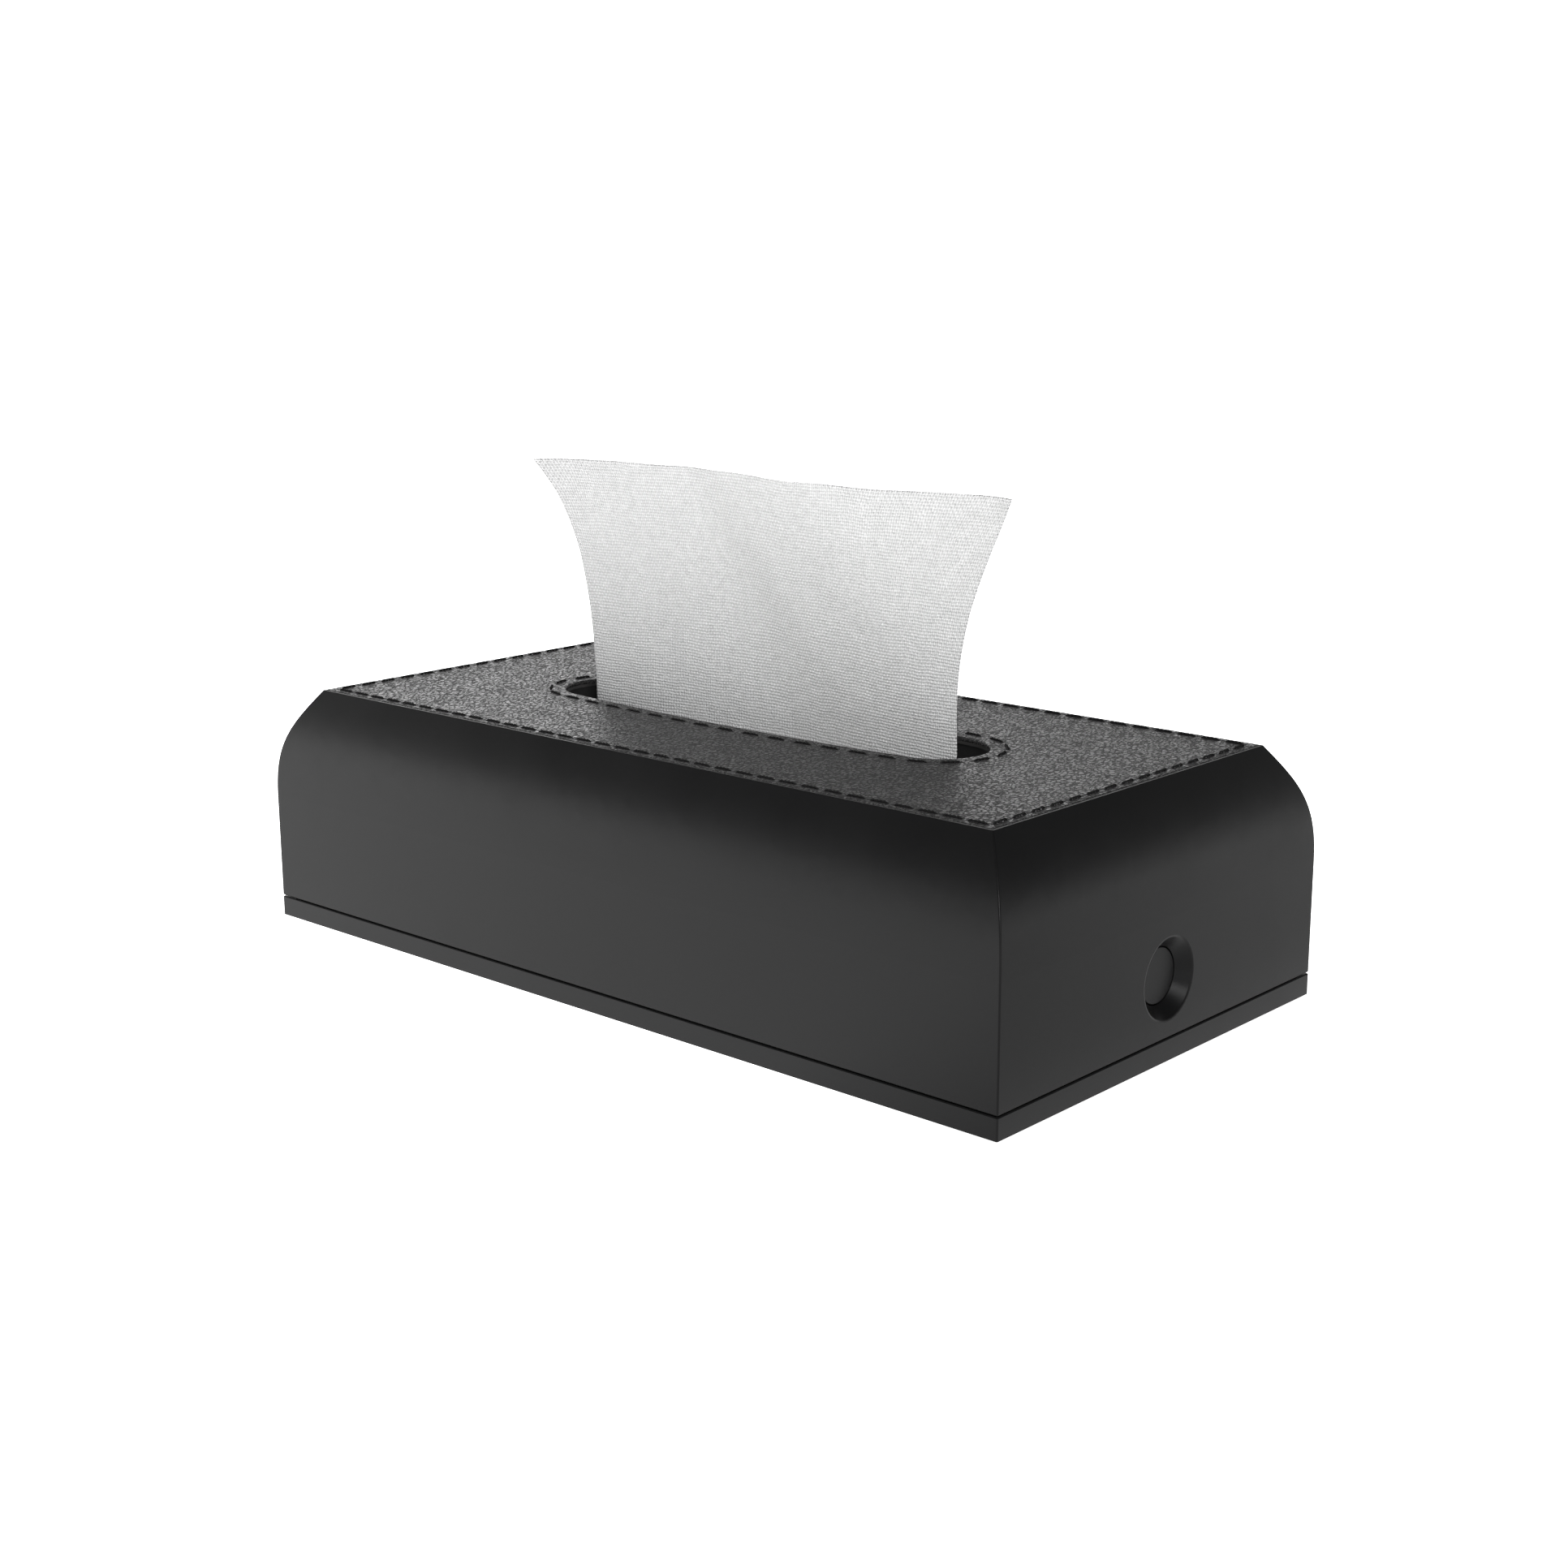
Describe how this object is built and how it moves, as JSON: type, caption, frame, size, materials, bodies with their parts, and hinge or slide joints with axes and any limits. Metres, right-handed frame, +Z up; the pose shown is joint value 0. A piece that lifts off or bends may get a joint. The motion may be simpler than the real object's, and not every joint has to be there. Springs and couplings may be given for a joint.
{
  "type": "napkin dispenser",
  "caption": "Low hipped tabletop napkin box with a stitched leather-topped cover, an oval slot, a hinged base plate and a push-button release in one end.",
  "frame": {"origin": "bottom centre of the body, on the surface that the feet stand on", "axes": "+Z up, +X along the length towards the end with the release button, -Y towards the front long side"},
  "size_m": [0.2526, 0.129, 0.1274],
  "materials": {
    "body_plastic": "fine satin moulded surface",
    "button_plastic": "fine satin moulded surface",
    "inner_plastic": "plain moulded surface",
    "black_leather": "fine pebbled grain with a satin top coat",
    "thread": "twisted waxed thread",
    "backing_board": "plain fibre board",
    "foot_rubber": "matt",
    "plated_steel": "zinc plated",
    "spring_steel": "bright drawn",
    "plate_steel": "galvanised sheet",
    "nylon": "natural nylon",
    "napkin_paper": "linen-embossed, matt"
  },
  "bodies": {
    "base": {"base_plate": "body_plastic", "rubber_feet": "foot_rubber", "hinge_pins": "plated_steel", "latch_keeper": "plated_steel", "keeper_screws": "plated_steel", "guide_posts": "plated_steel", "post_caps": "inner_plastic", "lift_springs": "spring_steel"},
    "cover": {"cover_shell": "body_plastic", "leather_panel": "black_leather", "panel_backing": "backing_board", "slot_liner": "inner_plastic", "perimeter_stitching": "thread", "slot_stitching": "thread", "button_guide": "inner_plastic", "button_guide_screws": "plated_steel", "latch_spring": "spring_steel", "latch_screws": "plated_steel", "button_spring": "spring_steel"},
    "button": {"release_button": "button_plastic"},
    "platform": {"lift_plate": "plate_steel", "guide_bushes": "nylon", "napkin_stack": "napkin_paper"},
    "napkin": {"napkin_sheet": "napkin_paper"}
  },
  "joints": [
    {"name": "cover_hinge", "type": "hinge", "parent": "base", "child": "cover", "pos_m": [-0.125, 0, 0.00655], "axis": [0, -1, 0], "range_deg": [0, 90]},
    {"name": "button_press", "type": "slide", "parent": "cover", "child": "button", "axis": [-1, 0, 0], "range_m": [0, 0.0025], "stiffness_N_per_m": 600, "springref_m": -0.0025, "deforming": ["button_spring", "latch_spring"]},
    {"name": "lift_slide", "type": "slide", "parent": "base", "child": "platform", "axis": [0, 0, 1], "range_m": [-0.007, 0], "stiffness_N_per_m": 400, "springref_m": 0.035, "deforming": ["lift_springs"]},
    {"name": "napkin_pull", "type": "slide", "parent": "cover", "child": "napkin", "axis": [0, 0, 1], "range_m": [0, 0.09]}
  ]
}
